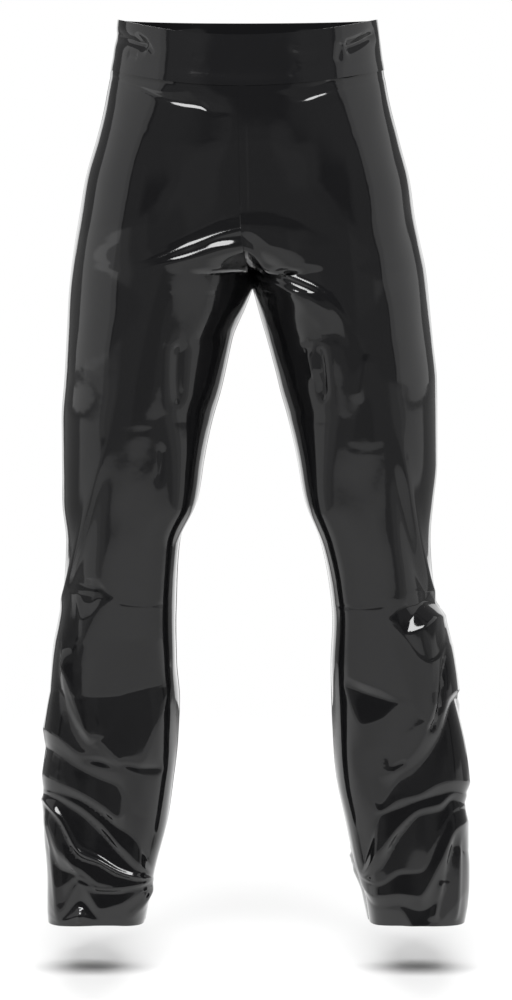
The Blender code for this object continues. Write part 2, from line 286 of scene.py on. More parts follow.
# One row for each fold, in millimetres: the leg (-1 left, 1 right), the face (-1 front, 1 back), its
# start, middle and end from left to right as x and z seen from the front, how far it reaches above and
# below its line, and its rise (a valley is negative).
FOLD_COLUMNS = ("leg", "face", "x1", "z1", "x2", "z2", "x3", "z3", "above", "below", "rise")
FOLDS = (
    # waistband
    (-1, -1, -150, -18, -131, -24, -112, -31, 5, 6, -4.5),
    (-1, -1, -126, -15, -113, -28, -106, -38, 2.5, 2.5, -1.2),
    (-1, -1, -135, -38, -130, -39, -124, -40, 3, 3, -1.2),
    (-1, -1, -62, -38, -57, -41, -51, -44, 3, 3, -0.3),
    (-1, -1, -82, -50, -62, -53, -43, -56, 3, 3, -0.25),
    (1, -1, 109, -31, 124, -26, 142, -16, 5, 6, -4.5),
    (1, -1, 101, -46, 103, -36, 105, -25, 3, 3, -0.8),
    (1, -1, 47, -30, 62, -33, 84, -32, 3, 3, -0.7),
    (1, -1, 55, -50, 66, -46, 80, -44, 3, 3, 0.5),
    (1, -1, 46, -62, 53, -55, 58, -48, 3, 3, -0.3),
    (-1, 1, -150, -18, -110, -26, -50, -24, 6, 7, -3),
    (1, 1, 48, -28, 108, -24, 150, -16, 6, 7, -3),
    (-1, 1, -110, -44, -60, -46, -20, -42, 4, 5, -1.5),
    (1, 1, 24, -40, 66, -46, 112, -42, 4, 5, -1.5),
    # left leg, front: groin, thigh and knee
    (-1, -1, -76, -362, -79, -396, -77, -432, 9, 9, -3),
    (-1, -1, -98, -478, -98, -498, -102, -520, 3, 3, -1.2),
    (-1, -1, -154, -459, -130, -462, -104, -459, 1.5, 1.5, -0.2),
    (-1, -1, -150, -656, -125, -660, -92, -658, 1.5, 1.5, -0.28),
    (-1, -1, -142, -1023, -126, -1003, -113, -984, 5, 8, 3.5),
    (-1, -1, -212, -656, -196, -602, -158, -468, 9, 9, 3),
    (-1, -1, -204, -640, -186, -590, -164, -500, 8, 10, -2),
    # left leg, front: below the knee
    (-1, -1, -212, -712, -199, -765, -176, -819, 9, 4, 6),
    (-1, -1, -211, -724, -204, -772, -178, -819, 4, 6, 4),
    (-1, -1, -148, -843, -122, -848, -98, -848, 4, 4, -2.5),
    (-1, -1, -211, -938, -193, -972, -172, -988, 2, 3, 1.6),
    (-1, -1, -199, -975, -166, -988, -114, -977, 1.5, 2, 1),
    (-1, -1, -233, -900, -222, -965, -214, -1028, 4, 5, 3),
    (-1, -1, -193, -1010, -193, -1018, -193, -1028, 2.5, 2.5, 2.2),
    # right leg, front: groin, thigh and knee
    (1, -1, 122, -426, 129, -400, 134, -375, 5, 5, 1.5),
    (1, -1, 112, -478, 135, -482, 157, -478, 1.5, 1.5, -0.2),
    (1, -1, 100, -660, 130, -663, 158, -660, 1.5, 1.5, -0.28),
    (1, -1, 79, -364, 84, -395, 84, -426, 5, 5, -3),
    (1, -1, 66, -372, 70, -385, 74, -398, 5, 5, 2),
    (1, -1, 172, -467, 197, -600, 219, -659, 9, 9, 3),
    (1, -1, 166, -500, 186, -600, 206, -652, 8, 10, -2),
    # right leg, front: below the knee
    (1, -1, 207, -805, 219, -775, 222, -718, 3, 4, -4),
    (1, -1, 148, -858, 190, -828, 214, -760, 14, 12, 3.5),
    (1, -1, 163, -848, 172, -844, 181, -840, 3, 3, -1.5),
    (1, -1, 212, -1026, 217, -1002, 223, -978, 3, 4, 3.5),
    (1, -1, 236, -1026, 240, -985, 243, -930, 5, 4, 3),
    # both legs, back
    (-1, 1, -172, -304, -98, -322, -24, -300, 13, 16, -5),
    (1, 1, 26, -300, 102, -324, 178, -302, 13, 16, -5),
    (-1, 1, -186, -548, -128, -560, -70, -545, 12, 14, -5),
    (-1, 1, -190, -604, -130, -588, -80, -592, 14, 14, -3),
    (1, 1, 74, -548, 130, -562, 190, -544, 12, 14, -5),
    (1, 1, 88, -602, 138, -592, 192, -606, 14, 14, -3),
    (-1, 1, -222, -842, -150, -800, -84, -760, 12, 18, -5),
    (1, 1, 100, -772, 168, -806, 240, -852, 12, 18, -5),
    (-1, 1, -226, -912, -150, -886, -96, -866, 9, 12, 5),
    (1, 1, 112, -872, 176, -896, 246, -926, 9, 12, 5),
    (-1, 1, -222, -950, -150, -944, -104, -920, 9, 13, -5),
    (1, 1, 122, -926, 180, -950, 248, -962, 9, 13, -5),
)

# The front of each half as stacks of crease lines from the top down: under the waistband, at the groin,
# at the knee, and from there to the hem. A stack's first row holds the places across, from left to
# right, where every line's level and its height off the skin are given; between two lines the sheet is
# a flat facet. Millimetres, as seen from the front.
LEFT_WAIST = (
    (-154, -138, -121, -98, -76, -54, -38, -18),
    ("waist seam",
     (-45, -47, -52, -58, -65, -69, -72, -74),
     (0, 0, 0, 0, 0, 0, 0, 0)),
    ("lens top",
     (-56, -64, -66, -68, -76, -86, -92, -94),
     (-0.5, -2, -2.4, -2.2, -1.2, -1.2, -0.8, 0)),
    ("lens bottom",
     (-58, -67, -72, -78, -79, -88, -94, -96),
     (-0.3, -1.3, -1, -0.4, -1.3, -1.4, -0.9, 0)),
    ("crease valley",
     (-64, -72, -77, -87, -92, -95, -103, -103),
     (-1.2, -2.6, -2.6, -2.4, -3.2, -3.2, -1.8, 0)),
    ("crease crest",
     (-66, -74, -79, -89, -94.8, -98.4, -105.5, -106),
     (-0.6, -1.2, -1, -1.3, -1.8, -1.6, -1.1, 0)),
    ("below",
     (-84, -100, -114, -128, -139, -145, -145, -143),
     (0, 0, 0, 0, 0, 0, 0, 0)),
)
RIGHT_WAIST = (
    (22, 41, 58, 81, 97, 114, 134, 150),
    ("waist seam",
     (-74, -72, -69, -65, -61, -57, -53, -47),
     (0, 0, 0, 0, 0, 0, 0, 0)),
    ("lens top",
     (-76, -75, -74, -72, -67, -63, -61, -57),
     (0, 0, -0.8, -2, -2.6, -2.6, -2.2, -1.4)),
    ("lens bottom",
     (-77, -76, -75, -73, -74, -69, -64, -60),
     (0, 0, -0.8, -1.8, -1.2, -1.3, -1.2, -1)),
    ("streak valley",
     (-81, -84, -88, -82, -77, -73, -68, -63),
     (0, -0.5, -1.8, -2.6, -2.2, -2.2, -1.9, -1.5)),
    ("streak crest",
     (-84, -87, -91, -84.8, -79.8, -75.8, -70.6, -66),
     (0, -0.4, -0.8, -1.3, -0.9, -1, -1, -0.7)),
    ("below",
     (-100, -109, -128, -134, -134, -125, -109, -94),
     (0, 0, 0, 0, 0, 0, 0, 0)),
)
LEFT_GROIN = (
    (-146, -124, -99, -76, -54, -31, -9),
    ("flat above",
     (-145, -139, -133, -133, -145, -161, -178),
     (0, 0, 0, 0, 0, 0, 0)),
    ("groin valley",
     (-262, -259, -252, -243, -233, -223, -216),
     (0, -0.8, -2.4, -2.2, -0.8, 0.4, 1)),
    ("upper line foot",
     (-272, -270, -263, -253, -244, -235, -229),
     (0, -0.3, -0.6, 0.3, 2.5, 4.2, 5.5)),
    ("upper line",
     (-273, -272.5, -265.5, -255.5, -246.5, -237.5, -231.5),
     (0, 0.1, 1.3, 2.7, 4.9, 6.6, 7.9)),
    ("band",
     (-277, -276, -267.5, -261, -252, -243, -238),
     (0, 0.1, 1.2, 2.2, 4.4, 6.1, 7.3)),
    ("lower line",
     (-278, -279, -270.5, -264.5, -257.5, -250, -245.5),
     (0, 0.4, 2.6, 5.1, 8.9, 12, 13)),
    ("dark edge",
     (-279, -280, -272, -267, -261, -254, -248.5),
     (0, 0.4, 2.8, 5.8, 9.8, 12.8, 13.6)),
    ("light below",
     (-285, -295, -296, -295, -286, -272, -259),
     (0, 0.1, 1.5, 3.6, 6, 8.5, 10)),
    ("inner valley",
     (-364, -369, -372, -367, -364, -358, -347),
     (0, 0, 0, -3, -4.5, -4, -2)),
    ("below",
     (-394, -415, -426, -432, -432, -420, -403),
     (0, 0, 0, 0, 0, 0, 0)),
)
RIGHT_GROIN = (
    (-6, 8, 23, 42, 59, 79, 98, 117, 138),
    ("flat above",
     (-161, -156, -150, -145, -139, -133, -133, -133, -133),
     (0, 0, 0, 0, 0, 0, 0, 0, 0)),
    ("groin valley",
     (-212, -211, -212, -216, -225, -234, -243, -257, -270),
     (0.8, 0.3, -0.5, -1.5, -2.3, -2.8, -2.4, -0.8, 0)),
    ("ridge top",
     (-229, -236, -249, -263, -277, -291, -309, -333, -356),
     (5.5, 6, 7, 7, 5.5, 3, 1.5, 0.2, 0)),
    ("ridge foot",
     (-237, -250, -267, -275, -284, -295, -313, -341, -364),
     (7.4, 6.6, 6.6, 6.7, 5.3, 2.9, 1.8, 0.4, 0)),
    ("ridge edge",
     (-246, -255, -272, -280, -289, -300, -320, -344, -366),
     (12.4, 10.8, 10.6, 10.4, 8.8, 6.4, 4.8, 0.8, 0)),
    ("slit valley 1",
     (-249, -268, -276, -284, -293, -304, -325, -347, -368),
     (13, 3.5, 6.6, 7.4, 6.2, 4.8, 3.4, 0.6, 0)),
    ("slit crest 1",
     (-253, -274, -279.5, -287.5, -296.5, -307, -326, -348, -369),
     (11.5, 4, 10, 11, 10, 7.8, 3.3, 0.6, 0)),
    ("slit valley 2",
     (-258, -276, -282, -290, -299, -309.5, -327, -349, -370),
     (9.5, 3, 8.6, 9.6, 8.8, 7, 2.9, 0.6, 0)),
    ("slit crest 2",
     (-268, -280, -285.5, -293.5, -302.5, -312.5, -328, -350, -371),
     (7, 4, 11.6, 12.8, 12, 9.6, 3.2, 0.6, 0)),
    ("light below",
     (-285, -302, -313, -320, -326, -333, -338, -364, -380),
     (3.5, 0.5, 2, 3.5, 4.5, 4, 1.2, 0, 0)),
    ("thigh valley",
     (-335, -347, -356, -364, -364, -352, -351, -369, -384),
     (-1, -2, -3, -4, -4.5, -3.5, -2, -0.4, 0)),
    ("blob foot",
     (-347, -358, -369, -372, -369, -366, -365, -378, -390),
     (-1, -2, -3, -4, -3.5, -0.8, 0, 0, 0)),
    ("below",
     (-403, -409, -417, -420, -415, -401, -394, -394, -398),
     (0, 0, 0, 0, 0, 0, 0, 0, 0)),
)
LEFT_KNEE = (
    (-203, -196, -189, -182, -175, -169, -161, -153),
    ("above",
     (-619, -619, -622, -624, -626, -631, -640, -648),
     (0, 0, 0, 0, 0, 0, 0, 0)),
    ("triangle top",
     (-636, -634, -637, -640, -641, -641, -646, -650.5),
     (0, -0.8, -1.8, -1.8, -1.8, -1.8, -1.1, 0)),
    ("inner top",
     (-638, -642.5, -643.5, -643.5, -645, -646, -656, -651),
     (0, -0.2, -0.8, -1, -1, -0.6, 0.8, 0)),
    ("inner bottom",
     (-639, -645, -657.5, -658.6, -655, -651.7, -657, -651.6),
     (0, -0.3, -1.6, -1.8, -1.5, -1, 0.8, 0)),
    ("triangle bottom",
     (-640, -647, -674.7, -673.5, -668, -661, -657.5, -652.3),
     (0, -0.1, 1.8, 1.4, 1.3, 1.1, 0.8, 0)),
    ("below",
     (-654, -677, -706, -706, -700, -694, -683, -665.5),
     (0, 0, 0, 0, 0, 0, 0, 0)),
)
RIGHT_KNEE = (
    (160, 169, 178, 187, 196, 205, 214, 223),
    ("above",
     (-654, -652, -649, -647, -645, -643, -643, -643),
     (0, 0, 0, 0, 0, 0, 0, 0)),
    ("triangle top",
     (-675, -668, -664, -661, -659, -654, -654, -654),
     (0, -1.5, -3.5, -4.5, -5, -4.8, -4.5, -4)),
    ("white foot",
     (-675.5, -679, -691, -676, -664, -655.5, -655.5, -655.5),
     (0, 1.2, 2.8, -1.2, -3.8, -4.6, -4.4, -3.9)),
    ("white crest",
     (-676, -680.5, -692, -689, -684, -677, -672.5, -672.5),
     (0, 1.4, 3, 7.2, 9.3, 9, 6, 3)),
    ("pocket bottom",
     (-677, -684, -694, -708, -718, -722, -718, -703),
     (0, 1.3, 2.6, 6.4, 7.9, 7.6, 5, 2.5)),
    ("pocket edge",
     (-678, -686.5, -696.5, -710.5, -720.5, -724.5, -720.5, -705.5),
     (0, 2, 3.4, 7.2, 8.7, 8.4, 5.7, 3)),
    ("below",
     (-700, -717, -740, -769, -787, -792, -787, -769),
     (0, 0, 0, 0, 0, 0, 0, 0)),
)
LEFT_CREASES = (
    (-234, -215, -193, -170, -149, -139, -128, -107, -87),
    ("flat above",
     (-700, -700, -700, -700, -700, -700, -700, -700, -700),
     (0, 0, 0, 0, 0, 0, 0, 0, 0)),
    ("knee valley",
     (-758, -758, -766, -766, -765, -762, -759, -754, -752),
     (-2.5, -4, -1, -5, -6, -6, -5.5, -3.5, 0)),
    ("knee ridge",
     (-758, -758, -767, -816, -838, -846, -848, -801, -753),
     (-2.5, -4, -1, 1, 3.5, 4.5, 4, 2, 0)),
    ("outer valley",
     (-758, -758, -805, -817, -839, -847, -849, -850, -850),
     (-2.5, -4, -0.5, 1, 3.4, 4.4, 3.9, 0, 0)),
    ("calf ridge",
     (-801, -813, -831, -835, -845, -853, -856, -856, -856),
     (2.5, 3.6, 2.6, -0.5, 1.8, 2.5, 3, 0, 0)),
    ("sliver valley",
     (-810, -822, -837, -841, -849, -860, -865, -868, -868),
     (1, 1.5, 1.1, -3, 0.9, 1.6, 2.4, 0, 0)),
    ("sliver ridge",
     (-816, -827, -841, -848, -854, -867, -872, -874, -874),
     (0, 0, 0, -1.3, 0.4, 1, 1.9, 0, 0)),
    ("calf valley",
     (-822, -835, -849, -861, -869, -885, -891, -891, -891),
     (-1.5, -1.2, -2, -4.5, -2, -0.6, 0.6, 0, 0)),
    ("ankle ridge",
     (-856, -866, -877, -892, -906, -899, -903, -909, -909),
     (1.6, 1.4, 2.5, 0.5, 2.6, -0.9, -0.4, 0, 0)),
    ("fan valley 1",
     (-873, -878, -885, -901, -918, -925, -934, -965, -967),
     (-0.5, -1, -1.5, -3.5, -2.2, -2.4, -1, 0, 0)),
    ("fan ridge",
     (-875, -882, -894, -913, -937, -947, -960, -973, -974),
     (0, -0.4, 1.1, 0.3, 3.1, 3.9, 5.6, 0.4, 0)),
    ("fan valley 2",
     (-877, -888, -901, -923, -946, -956, -965, -974, -975),
     (-0.5, -2.4, -2.2, -3.7, -0.7, 0.8, 3.8, 0.2, 0)),
    ("lip foot",
     (-880, -897, -937, -950, -963, -967, -970, -975, -977),
     (0.3, 0, 4.6, 1.7, 3.1, 3.6, 5.3, 0.5, 0)),
    ("lip crest",
     (-885, -906, -944, -956, -968, -972, -974, -977, -977),
     (2.2, 6.6, 10.4, 7.2, 7.5, 8, 9, 1.6, 0)),
    ("under the lip",
     (-889, -910, -952, -961, -973, -975, -977, -978, -978),
     (0.5, 3, 4.7, 2.7, 2.9, 4.2, 6.3, 0.9, 0)),
    ("crescent ridge 1",
     (-892, -945, -964, -982, -985, -984, -981, -978, -978),
     (0.5, 8, 8.5, 7.7, 6.5, 6.7, 7.7, 1.2, 0)),
    ("crescent valley 1",
     (-920, -965, -971, -985, -987, -985, -982, -979, -979),
     (-1, 0.5, 4.9, 6.5, 5.5, 5.9, 7.1, 1, 0)),
    ("crescent ridge 2",
     (-938, -985, -974, -986, -988, -987, -984, -979, -979),
     (-0.5, 3.7, 5.7, 7, 6, 6.4, 7.5, 1.1, 0)),
    ("crescent valley 2",
     (-967, -1005, -976, -992, -993, -989, -985, -980, -980),
     (-1, 4.7, 4.1, 3.6, 3.2, 5, 6.3, 0.9, 0)),
    ("hem ridge 1",
     (-991, -1017, -983, -1011, -1006, -1000, -992, -981, -980),
     (-0.5, 6, 6.3, 8.4, 6.9, 7.8, 8.1, 1.1, 0)),
    ("hem valley",
     (-1008, -1021, -1002, -1019, -1019, -1016, -1014, -991, -985),
     (0, 5.5, 2.3, 6.5, 4.5, 5, 5, 0.8, 0)),
    ("hem ridge 2",
     (-1014, -1024, -1012, -1022, -1022, -1021, -1020, -1002, -991),
     (0, 5.4, 5.1, 6.3, 4.3, 4.8, 4.6, 0.6, 0)),
    ("hem spot",
     (-1020, -1026, -1019, -1025, -1025, -1025, -1025, -1014, -1002),
     (0, 5.3, 9.2, 6.2, 4.2, 4.6, 4.4, 0.4, 0)),
    ("hem",
     (-1049, -1049, -1049, -1049, -1049, -1049, -1049, -1049, -1049),
     (0, 3, 5, 4, 2, 2, 1.5, -0.5, -1)),
)
RIGHT_CREASES = (
    (111, 131, 151, 174, 197, 220, 237, 251),
    ("flat above",
     (-700, -700, -700, -700, -700, -700, -700, -700),
     (0, 0, 0, 0, 0, 0, 0, 0)),
    ("knee crest",
     (-742, -750, -757, -767, -769, -769, -758, -752),
     (0, 0.8, 0.8, 0.3, 0, 0, 0, 0)),
    ("knee valley",
     (-752, -761, -767, -772, -771, -771, -759, -753),
     (0, -5.5, -4, -0.5, 0, 0, 0, 0)),
    ("knee ridge",
     (-753, -797, -791, -773, -772, -772, -760, -754),
     (0, 2.5, 1.5, -0.4, 0, 0, 0, 0)),
    ("below the knee",
     (-827, -827, -825, -816, -798, -787, -766, -756),
     (0, 0, 0, 0, 0, 0, -4, -4)),
    ("calf valley",
     (-839, -851, -891, -858, -843, -813, -772, -758),
     (0, 0, -0.5, -3, -4, -6, -6, -5)),
    ("ankle ridge",
     (-845, -856, -899, -886, -880, -867, -863, -866),
     (0, 0, 1.8, 2.3, 2.3, 2.5, 4, 3.5)),
    ("fan valley 1",
     (-885, -965, -902, -894, -885, -879, -875, -877),
     (0, 0, 0, -1.9, -0.9, -2.5, -1, -1)),
    ("fan ridge",
     (-887, -972, -947, -916, -897, -891, -878, -881),
     (0, 1, 8.5, 3.6, 2.4, 0.8, -0.2, -0.5)),
    ("fan valley 2",
     (-888, -974, -963, -927, -902, -898, -885, -889),
     (0, 0.5, 2, -1.2, -0.6, -2.8, -3.2, -3)),
    ("eye ridge",
     (-889, -975, -981, -967, -965, -927, -898, -892),
     (0, 0.8, 5.2, 5.4, 7, 1.7, -0.5, -2)),
    ("eye valley",
     (-890, -977, -983, -970, -967, -929, -899, -894),
     (0, 0.2, 4.3, 3.8, 6, 1, -1, -2.3)),
    ("crescent ridge",
     (-891, -984, -996, -994, -996, -957, -919, -911),
     (0, 1.2, 7.9, 9.4, 11.5, 7.7, 4, 1)),
    ("crescent valley",
     (-892, -986, -1008, -1006, -1012, -1000, -939, -944),
     (0, 0, 3.9, 4.2, 5, 2.2, -2, -2.5)),
    ("hem ridge",
     (-894, -991, -1012, -1013, -1040, -1027, -1005, -991),
     (0, 0, 4.3, 5.2, 10, 6.3, 3.6, 0)),
    ("hem",
     (-1049, -1049, -1049, -1049, -1049, -1049, -1049, -1049),
     (0, -1, 2, 3, 10.3, 5, 1, -1)),
)

# A panel's rows lie closest where its creases do: start, end and step of each stretch, down from the
# waist seam.
COARSENESS = 1.0
ROW_STRETCHES = (
    (-75, -135, 1.2),
    (-135, -220, 3.0),
    (-220, -300, 1.15),
    (-300, -620, 3.6),
    (-620, -1027, 1.15),
)
COLUMNS = 152
INNER_STEP = 4
CREASE_PASSES = 2

# The back has the other leg's waist creases, mirrored, and its knee-to-hem ones, mirrored and 26 mm higher.
# They fade in from either seam over this share of the way between the seams.
BACK_SHIFT = 26.0
BACK_FADE = 0.14


def levels():
    """Levels of a panel's rows, from the waist seam at the centre front to the hem at the side."""
    parts = []
    for start, end, step in ROW_STRETCHES:
        count = INNER_STEP * max(1, round(abs(end - start) / step / COARSENESS / INNER_STEP))
        parts.append(np.linspace(start, end, count, endpoint=False))
    return np.append(np.concatenate(parts), HEM_SIDE)


def smooth_through(known_at, known, at):
    """A smooth curve through known values, by cubic pieces that never overshoot them."""
    steps = np.diff(known_at)
    slopes = np.diff(known) / steps
    turn = slopes[:-1] * slopes[1:] <= 0
    inner = np.where(turn, 0.0, 2 * slopes[:-1] * slopes[1:] / np.where(turn, 1.0, slopes[:-1] + slopes[1:]))
    tangents = np.concatenate([slopes[:1], inner, slopes[-1:]])
    at = np.clip(at, known_at[0], known_at[-1])
    i = np.clip(np.searchsorted(known_at, at) - 1, 0, len(steps) - 1)
    t = (at - known_at[i]) / steps[i]
    rise = known[i + 1] - known[i]
    bend_start = tangents[i] * steps[i] - rise
    bend_end = rise - tangents[i + 1] * steps[i]
    return known[i] + t * rise + t * (1 - t) * ((1 - t) * bend_start + t * bend_end)


def smooth_column(name, z):
    """One column of the section table at level z."""
    table = np.array(SECTIONS, dtype=float)[::-1]
    return smooth_through(table[:, 0], table[:, SECTION_COLUMNS.index(name)], z)


def leg_names(leg):
    """The outer and inner column names of one leg."""
    return ("left_out", "left_in") if leg < 0 else ("right_out", "right_in")


def skin_point(leg, across, z):
    """Outer face without folds. across runs from -1, back centre, by 0, side seam, to 1, front centre."""
    outer_name, inner_name = leg_names(leg)
    outer = smooth_column(outer_name, z)
    inner = smooth_column(inner_name, z)
    depth = np.where(across > 0, smooth_column("front", z), smooth_column("back", z))
    side = smooth_column("side", z)
    at_leg = np.clip((HIP - z) / (HIP - FORK), 0, 1)
    at_leg = at_leg * at_leg * (3 - 2 * at_leg)
    parted = smooth_column("parted", z)
    turn = np.abs(across) * HALF_TURN
    swell = np.where(turn < HALF_TURN / 2, np.sin(turn), 1 - parted * (1 - np.sin(turn)))
    oval_x = inner + (outer - inner) * np.cos(turn / 2)
    oval_y = side + (depth - side) * np.sin(turn / 2)
    square_top = np.where(turn > HALF_TURN / 2, INNER_SQUARE_TOP, OUTER_SQUARE_TOP)
    square = np.clip((square_top - z) / SQUARE_FADE, 0, 1)
    power = 2 + (SQUARE_POWER - 2) * square
    reach = (np.abs(np.cos(turn)) ** power + np.abs(np.sin(turn)) ** power) ** (-1 / power)
    tube_x = (inner + outer) / 2 + (outer - inner) / 2 * np.cos(turn) * reach
    tube_y = side + (depth - side) * swell * reach
    x = oval_x + (tube_x - oval_x) * at_leg
    y = oval_y + (tube_y - oval_y) * at_leg
    return np.stack([x, y, z + 0 * x], axis=-1)


def unit(vectors):
    """The vectors at length 1."""
    return vectors / np.maximum(np.linalg.norm(vectors, axis=-1, keepdims=True), 1e-9)


def seen_flat(points):
    """Where points show on the upright plane through the side seams, seen from the front, as x and z."""
    share = EYE[1] / (EYE[1] - points[..., 1])
    return EYE[[0, 2]] + (points[..., [0, 2]] - EYE[[0, 2]]) * share[..., None]


FOLD_POINTS = 17
ACROSS_POINTS = 81
SIGHT_PASSES = 3


def fold_line(leg, face, corners):
    """Points on the skin that show along a bent line given by its start, middle and end in x and z."""
    t = np.linspace(0, 1, FOLD_POINTS)
    weights = np.stack([(1 - t) * (1 - 2 * t), 4 * t * (1 - t), t * (2 * t - 1)], axis=-1)
    line = weights @ np.array(corners, dtype=float).reshape(3, 2)
    reach = np.linspace(0, 1, ACROSS_POINTS)
    points = []
    for x, z in line:
        y = 0.0
        for _ in range(SIGHT_PASSES):
            at_x, at_z = EYE[[0, 2]] + (np.array((x, z)) - EYE[[0, 2]]) * (EYE[1] - y) / EYE[1]
            row = skin_point(leg, -face * reach, np.full(len(reach), at_z))
            order = np.argsort(row[:, 0])
            point = [np.interp(at_x, row[order, 0], row[order, axis]) for axis in range(3)]
            y = point[1]
        points.append(point)
    return np.array(points)


def crease_height(table, seen, shift):
    """Height off the skin at points seen from the front, between a table's crease lines."""
    places = np.array(table[0], dtype=float)
    x = np.clip(seen[..., 0], places[0], places[-1])
    z = seen[..., 1] - shift
    height = np.zeros(z.shape)
    upper = lift = None
    for _, levels_here, heights_here in table[1:]:
        level = smooth_through(places, np.array(levels_here, dtype=float), x)
        rise = smooth_through(places, np.array(heights_here, dtype=float), x)
        if upper is not None:
            level = np.minimum(level, upper)
            inside = (z <= upper) & (z > level)
            share = (upper - z) / np.maximum(upper - level, 1e-3)
            height = np.where(inside, lift + (rise - lift) * share, height)
        upper, lift = level, rise
    return height


def soften(field, passes):
    """Averages a grid of heights with its neighbours, which rounds the creases."""
    for _ in range(passes):
        for axis in (0, 1):
            ends = np.concatenate([field.take([0], axis), field, field.take([-1], axis)], axis)
            size = field.shape[axis]
            before, after = ends.take(range(size), axis), ends.take(range(2, size + 2), axis)
            field = (before + 2 * field + after) / 4
    return field


# How a fold's rise falls off beside its line and at its ends. One with an end above the fork, or up to
# 20 mm under it, runs on over the centre seam, where it dies out over the last 40 mm above the fork.
FOLD_REACH = 5
FOLD_ROUNDING = 1.2
FOLD_FALL = 1.35
FOLD_END_SHARE = 0.12
FOLD_END_STEEPNESS = 5
FORK_MARGIN = 20.0
OTHER_HALF_FADE = 40.0


def fold_height(points, normals, leg):
    """How far the folds move each skin point outwards."""
    height = np.zeros(points.shape[:-1])
    for fold in FOLDS:
        row = dict(zip(FOLD_COLUMNS, fold))
        if row["leg"] != leg and max(row["z1"], row["z3"]) < FORK - FORK_MARGIN:
            continue
        line = fold_line(row["leg"], row["face"], [row[name] for name in FOLD_COLUMNS[2:8]])
        reach = FOLD_REACH * max(row["above"], row["below"])
        near = np.all((points > line.min(axis=0) - reach) & (points < line.max(axis=0) + reach), axis=-1)
        if not near.any():
            continue
        spots = points[near]
        runs = line[1:] - line[:-1]
        gap = spots[:, None, :] - line[:-1]
        share = np.clip((gap * runs).sum(-1) / np.maximum((runs * runs).sum(-1), 1e-6), 0, 1)
        away = gap - share[..., None] * runs
        distance = np.linalg.norm(away, axis=-1)
        nearest = distance.argmin(axis=-1)
        each = np.arange(len(nearest))
        along = (nearest + share[each, nearest]) / len(runs)
        up = np.cross(normals[near], runs[nearest]) * -row["face"]
        is_above = (away[each, nearest] * up).sum(-1) > 0
        width = np.where(is_above, row["above"], row["below"])
        from_end = np.minimum(along, 1 - along) * FOLD_END_STEEPNESS + FOLD_END_SHARE
        taper = np.sin(np.clip(from_end, 0, 1) * HALF_TURN / 2)
        beside = np.sqrt(distance[each, nearest] ** 2 + FOLD_ROUNDING ** 2) - FOLD_ROUNDING
        lift = row["rise"] * taper * np.exp(-(beside / width) ** FOLD_FALL)
        if row["leg"] != leg:
            lift = lift * np.clip((spots[:, 2] - FORK) / OTHER_HALF_FADE, 0, 1)
        height[near] += lift
    return height


RIPPLE_SEED = 7
RIPPLE_WAVES = 14
RIPPLE_LENGTHS = (26, 110)
RIPPLE_HEADINGS = (1, 1, 0.6)
RIPPLE_STARTS = (0, 6.3)
RIPPLE_HEIGHT = 0.0011


def ripple(points):
    """The slow unevenness of stretched sheet: a sum of low waves, each as high as suits its length."""
    rng = np.random.default_rng(RIPPLE_SEED)
    height = np.zeros(points.shape[:-1])
    for _ in range(RIPPLE_WAVES):
        length = rng.uniform(*RIPPLE_LENGTHS)
        heading = unit(rng.normal(size=3) * RIPPLE_HEADINGS)
        start = rng.uniform(*RIPPLE_STARTS)
        height += RIPPLE_HEIGHT * length * np.sin(points @ heading * 2 * HALF_TURN / length + start)
    return height


def seam_level(across, low_front, low_back, side):
    """A level line round the waist: side at the side seams, and its own level at each centre."""
    centre = np.where(across > 0, low_front, low_back)
    return side + (centre - side) * np.sin(np.abs(across) * HALF_TURN / 2) ** 2


def half_levels(across):
    """Level of each point of one half's grid: the waist seam above, then level rows, then the hem."""
    z = levels()[:, None] + 0 * across
    top = seam_level(across, -BAND_FRONT, -BAND_BACK, -BAND_SIDE)
    fade = np.clip(1 - (z[0] - z) / SEAM_FADE, 0, 1)
    z = z + (top - z[0]) * fade
    hem = HEM_SIDE + np.where(across > 0, HEM_FRONT, -HEM_BACK) * np.sin(np.abs(across) * HALF_TURN)
    share = np.clip((z - HEM_BEND_TOP) / (HEM_SIDE - HEM_BEND_TOP), 0, 1)
    return z + (hem - HEM_SIDE) * share


def grid_normals(grid, leg, closed):
    """Outward normals of a grid whose rows run from back centre to front centre."""
    down = np.gradient(grid, axis=0)
    round_it = np.gradient(grid, axis=1)
    loop = grid[:, 1] - grid[:, -2]
    round_it[closed, 0] = loop[closed]
    round_it[closed, -1] = loop[closed]
    return unit(np.cross(round_it, down)) * leg


